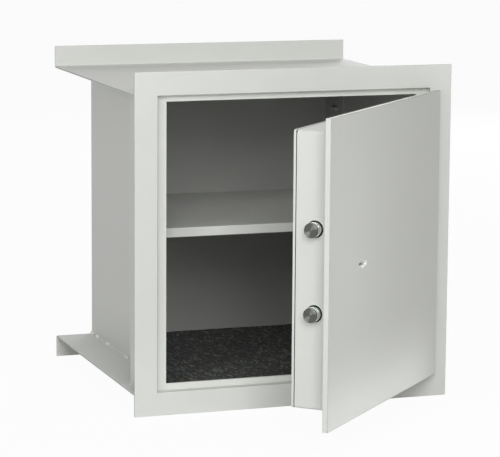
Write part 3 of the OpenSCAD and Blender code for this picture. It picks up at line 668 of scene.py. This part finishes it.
felt_mat = added("felt_mat", mat_mesh)
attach(felt_mat, "housing")
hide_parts("floor_mat")

# Shelf: one steel sheet folded down at the front and the rear, coated like the frame
# and laid loose on the middle row of lugs.
SHELF_ROUND = 0.0012

rounded("shelf", SHELF_ROUND, light_grey_coat, "shelf_body", segments=3)

# Places on the door: its pieces are built as if it were shut, then turned about the
# hinge pins to the angle at which it stands open.
door_swing = next(j for j in frame["joints"] if j["name"] == "door_swing")
hinge_line = Vector(door_swing["pos_m"])
open_turn = Matrix.Rotation(-math.radians(door_swing["range_deg"][0]), 4, "Z")
to_open = Matrix.Translation(hinge_line) @ open_turn @ Matrix.Translation(-hinge_line)
to_shut = to_open.inverted()


def shut_box(node):
    """Lowest and highest corner of a door node, as if the door were shut."""
    places = [to_shut @ v.co for v in frame["nodes"][node].data.vertices]
    return [Vector([extreme(p[i] for p in places) for i in range(3)]) for extreme in (min, max)]


# Door plate: one 7 mm steel plate with the keyhole cut through it, its edges broken
# before it is coated.
DOOR_ROUND = 0.0007

door_plate = rounded("door_plate", DOOR_ROUND, light_grey_coat, "door")

# Bolt box: folded 2 mm sheet welded to the back of the door plate, shut with a flat
# screwed cover that leaves a fine seam.
BOX_ROUND = 0.0006
BOX_CORNER = 0.0032

box_corners = (open_turn @ Vector((0, 1, 0)), BOX_CORNER)
bolt_box = rounded("bolt_box", BOX_ROUND, light_grey_coat, "door", corners=box_corners)
box_cover = rounded("box_cover", BOX_ROUND, light_grey_coat, "door", corners=box_corners)

# Cover seam: the fine groove between the bolt box and its cover, painted dark as painted
# shade in the groove.
SEAM_HEIGHT = 0.001
SEAM_REACH = 0.0011
SEAM_PAINTED_SHADE = 2.6

seam_y = shut_box("box_cover")[0].y + SEAM_HEIGHT / 2
# Painted shade along the seam.
for piece in (bolt_box, box_cover):
    near = [abs((to_shut @ polygon.center).y - seam_y) < SEAM_REACH for polygon in piece.data.polygons]
    paint_light_and_shade(piece, [SEAM_PAINTED_SHADE * mark for mark in near])

# Marks on the door plate: painted shade along the broken edge of its face, and painted
# light on the wall of the keyhole.
BROKEN_EDGE_PAINTED_SHADE = 0.9
KEYHOLE_PAINTED_LIGHT = 1.2
FACE_SKIN = DOOR_ROUND / 10

door_low, door_high = shut_box("door_plate")
curtain_low, curtain_high = shut_box("key_curtain")
key_middle = (curtain_low + curtain_high) / 2
painted_marks = []
for polygon in door_plate.data.polygons:
    place = to_shut @ polygon.center
    depth = place.y - door_low.y
    from_key = math.hypot(place.x - key_middle.x, place.z - key_middle.z)
    if from_key < curtain_high.z - curtain_low.z and FACE_SKIN < depth < door_high.y - door_low.y:
        painted_marks.append(-KEYHOLE_PAINTED_LIGHT)
    elif FACE_SKIN < depth < DOOR_ROUND and face_width(door_plate.data, polygon) < DOOR_ROUND:
        painted_marks.append(BROKEN_EDGE_PAINTED_SHADE)
    else:
        painted_marks.append(0)
paint_light_and_shade(door_plate, painted_marks)

# Locking bolts: turned steel rods 18 mm thick, with a chamfered and faced end, a groove
# behind it, and a threaded stud that the nut holds to the bolt bar.
BOLT_SHANK = (0.78, 0.82, 0.80)
# Painted reflection: the end face is painted dark, as if it reflected dark surroundings.
BOLT_FACE_PAINTED_REFLECTION = (0.115, 0.119, 0.108)
BOLT_SIDES = 96
BOLT_CHAMFER = 0.0012
CHAMFER_BREAK = 0.3
CENTRE_HOLE = 0.0012
RING_PITCH = 0.0014
RING_STEPS = 8
RING_DEPTH = 0.00026
TURNING_SCALE = 1900
TURNING_DEPTH = 0.00009
TURNED_ROUGHNESS = (0.13, 0.27)
# How dark the steel is painted, from 0 to 1, at each distance from the bolt's end: dark on
# the end face as painted reflection, and in the groove as painted shade.
TURNED_PAINTED_SHADE = ((0, 1), (0.0010, 1), (0.0015, 0), (0.0044, 0), (0.0048, 0.6), (0.0060, 0.6), (0.0065, 0))
TONES_REACH = 0.008
TURNED_SHADE_ANGLE = math.radians(28)
GROOVE_BACK = 0.0045
GROOVE_WIDTH = 0.0022
GROOVE_DEPTH = 0.001
GROOVE_SLOPE = 0.0002
STUD_RADIUS = 0.006


def turned_steel(name, shank, face):
    """Material: steel from the lathe, painted dark on its faced end as painted reflection and in its groove
    as painted shade.

    It follows the attributes turn_radius and turn_length of a turned piece.
    """
    material, nodes, links, steel = surface(name)
    steel.inputs["Metallic"].default_value = 1
    radius = nodes.new("ShaderNodeAttribute")
    radius.attribute_name = "turn_radius"
    length = nodes.new("ShaderNodeAttribute")
    length.attribute_name = "turn_length"
    place = nodes.new("ShaderNodeCombineXYZ")
    links.new(radius.outputs["Fac"], place.inputs["X"])
    links.new(length.outputs["Fac"], place.inputs["Y"])
    marks = nodes.new("ShaderNodeTexNoise")
    marks.inputs["Scale"].default_value = TURNING_SCALE
    marks.inputs["Detail"].default_value = 1
    links.new(place.outputs["Vector"], marks.inputs["Vector"])
    links.new(ranged(nodes, links, marks.outputs["Fac"], TURNED_ROUGHNESS), steel.inputs["Roughness"])
    tone = nodes.new("ShaderNodeValToRGB")
    stops = tone.color_ramp.elements
    for distance, _ in TURNED_PAINTED_SHADE[1:-1]:
        stops.new(distance / TONES_REACH)
    stops[len(stops) - 1].position = TURNED_PAINTED_SHADE[-1][0] / TONES_REACH
    for stop, (_, dark) in zip(stops, TURNED_PAINTED_SHADE):
        stop.color = (*[f * dark + s * (1 - dark) for f, s in zip(face, shank)], 1)
    along = nodes.new("ShaderNodeMapRange")
    along.inputs["From Max"].default_value = TONES_REACH
    links.new(length.outputs["Fac"], along.inputs["Value"])
    links.new(along.outputs["Result"], tone.inputs["Fac"])
    links.new(tone.outputs["Color"], steel.inputs["Base Color"])
    raised(nodes, links, marks.outputs["Fac"], 1, TURNING_DEPTH, steel)
    return material


def turned(name, profile, to_place, material):
    """A closed turned piece: profile is (length, radius) points from axis to axis, turned about local X."""
    verts, faces, marks, rows = [], [], [], []
    for length, radius in profile:
        points = BOLT_SIDES if radius else 1
        rows.append([len(verts) + i % points for i in range(BOLT_SIDES)])
        for i in range(points):
            turn = math.tau * i / BOLT_SIDES
            verts.append(to_place @ Vector((length, radius * math.cos(turn), radius * math.sin(turn))))
            marks.append((radius, length))
    for a, b in zip(rows, rows[1:]):
        for i in range(BOLT_SIDES):
            j = (i + 1) % BOLT_SIDES
            faces.append(list(dict.fromkeys((a[i], a[j], b[j], b[i]))))
    mesh = bpy.data.meshes.new(name)
    mesh.from_pydata(verts, [], faces)
    for k, attribute in enumerate(("turn_radius", "turn_length")):
        values = mesh.attributes.new(attribute, "FLOAT", "POINT")
        values.data.foreach_set("value", [m[k] for m in marks])
    shape = bmesh.new()
    shape.from_mesh(mesh)
    bmesh.ops.recalc_face_normals(shape, faces=shape.faces)
    shape.to_mesh(mesh)
    shape.free()
    mesh.polygons.foreach_set("use_smooth", [True] * len(mesh.polygons))
    mesh.set_sharp_from_angle(angle=TURNED_SHADE_ANGLE)
    mesh.materials.append(material)
    return added(name, mesh)


bolt_steel = turned_steel("bolt_steel_painted_dark", BOLT_SHANK, BOLT_FACE_PAINTED_REFLECTION)
bar_low = shut_box("bolt_bar")[0]
for bolt in ("upper_bolt", "lower_bolt"):
    low, high = shut_box(bolt)
    radius = (high.z - low.z) / 2
    length = high.x - low.x
    shoulder = bar_low.x - low.x
    profile = [(CENTRE_HOLE, 0), (0, CENTRE_HOLE)]
    ringed = radius - BOLT_CHAMFER - CENTRE_HOLE
    steps = round(ringed / RING_PITCH) * RING_STEPS
    for i in range(1, steps):
        dip = RING_DEPTH * (1 - math.cos(math.tau * i / RING_STEPS)) / 2
        profile.append((dip, CENTRE_HOLE + ringed * i / steps))
    broken = BOLT_CHAMFER * CHAMFER_BREAK
    profile += [(0, radius - BOLT_CHAMFER), (broken, radius - broken), (BOLT_CHAMFER, radius)]
    groove_end = GROOVE_BACK + GROOVE_WIDTH
    groove_floor = radius - GROOVE_DEPTH
    profile += [(GROOVE_BACK, radius), (GROOVE_BACK + GROOVE_SLOPE, groove_floor)]
    profile += [(groove_end - GROOVE_SLOPE, groove_floor), (groove_end, radius)]
    profile += [(shoulder, radius), (shoulder, STUD_RADIUS), (length, STUD_RADIUS), (length, 0)]
    centre = Vector((low.x, (low.y + high.y) / 2, (low.z + high.z) / 2))
    rod = turned(bolt + "_turned", profile, to_open @ Matrix.Translation(centre), bolt_steel)
    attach(rod, "boltwork")
    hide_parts(bolt)

# Zinc-plated pieces: hinge brackets and arms, bar guides, the bolt bar, its nuts and
# the lock case with its cover, all cut from plate or bar and plated bright.
ZINC = (0.56, 0.57, 0.57)
ZINC_ROUGHNESS = 0.38
ZINC_ROUND = 0.0004
PLATING_SPECKLE = 0.06
CRYSTAL_SCALE = 420
STREAK_SCALE = 130
STREAK_SPREAD = 0.1
STREAK_STRENGTH = 0.2
STREAK_DEPTH = 0.00003


def plated(name, colour, roughness, speckle=PLATING_SPECKLE):
    """Material: a plated or ground metal surface with a faint crystal pattern."""
    material, nodes, links, metal = surface(name)
    metal.inputs["Metallic"].default_value = 1
    place = nodes.new("ShaderNodeTexCoord")
    crystal = nodes.new("ShaderNodeTexVoronoi")
    crystal.inputs["Scale"].default_value = CRYSTAL_SCALE
    links.new(place.outputs["Object"], crystal.inputs["Vector"])
    streak = nodes.new("ShaderNodeTexNoise")
    streak.inputs["Scale"].default_value = STREAK_SCALE
    streak.inputs["Detail"].default_value = 4
    links.new(place.outputs["Object"], streak.inputs["Vector"])
    tone = ranged(nodes, links, crystal.outputs["Distance"], (1 - speckle, 1 + speckle))
    shade = nodes.new("ShaderNodeVectorMath")
    shade.operation = "SCALE"
    shade.inputs[0].default_value = colour
    links.new(tone, shade.inputs["Scale"])
    links.new(shade.outputs[0], metal.inputs["Base Color"])
    span = (roughness - STREAK_SPREAD, roughness + STREAK_SPREAD)
    links.new(ranged(nodes, links, streak.outputs["Fac"], span), metal.inputs["Roughness"])
    raised(nodes, links, streak.outputs["Fac"], STREAK_STRENGTH, STREAK_DEPTH, metal)
    return material


zinc_plate = plated("zinc_plate", ZINC, ZINC_ROUGHNESS)
for node in ("upper_hinge_bracket", "lower_hinge_bracket"):
    rounded(node, ZINC_ROUND, zinc_plate, "housing")
for node in ("upper_hinge_arm", "lower_hinge_arm", "lock_case", "lock_cover", "bar_guides"):
    rounded(node, ZINC_ROUND, zinc_plate, "door")
for node in ("bolt_bar", "bolt_nuts"):
    rounded(node, ZINC_ROUND, zinc_plate, "boltwork")

# Bolt guides: drilled steel blocks that the bolts slide in, set inside the box behind
# the bolt holes, blackened and oiled.
BLACK_OXIDE = (0.018, 0.018, 0.017)
BLACK_OXIDE_ROUGHNESS = 0.45

black_oxide = plated("black_oxide", BLACK_OXIDE, BLACK_OXIDE_ROUGHNESS)
rounded("bolt_guides", ZINC_ROUND, black_oxide, "door")

# Cover screws: zinc-plated countersunk screws with a cross recess, which hold the
# cover on the box.
SCREW_ROUND = 0.0001

rounded("cover_screws", SCREW_ROUND, zinc_plate, "door")

# Bare steel pieces: hinge pins, hard plate, lever post and lock screws, ground or
# blued and left without paint.
GROUND_STEEL = (0.42, 0.42, 0.42)
GROUND_ROUGHNESS = 0.34
GROUND_SPECKLE = 0.03


def finished_in(node, material):
    """Gives a CAD node this material all over."""
    for material_slot in frame["nodes"][node].material_slots:
        material_slot.material = material


ground_steel = plated("ground_steel", GROUND_STEEL, GROUND_ROUGHNESS, speckle=GROUND_SPECKLE)
for node in ("hinge_pins", "hard_plate", "lever_post", "lock_screws"):
    finished_in(node, ground_steel)

# Brass pieces: bushes, lock bolt and levers of worked brass, and the key curtain, which
# is nickel plated.
BRASS = (0.70, 0.52, 0.24)
BRASS_ROUGHNESS = 0.30
NICKEL = (0.66, 0.65, 0.62)
NICKEL_ROUGHNESS = 0.25

brass = plated("worked_brass", BRASS, BRASS_ROUGHNESS)
nickel = plated("nickel_plate", NICKEL, NICKEL_ROUGHNESS)
for node in ("hinge_bushes", "lock_bolt", "lever_pack"):
    finished_in(node, brass)
finished_in("key_curtain", nickel)
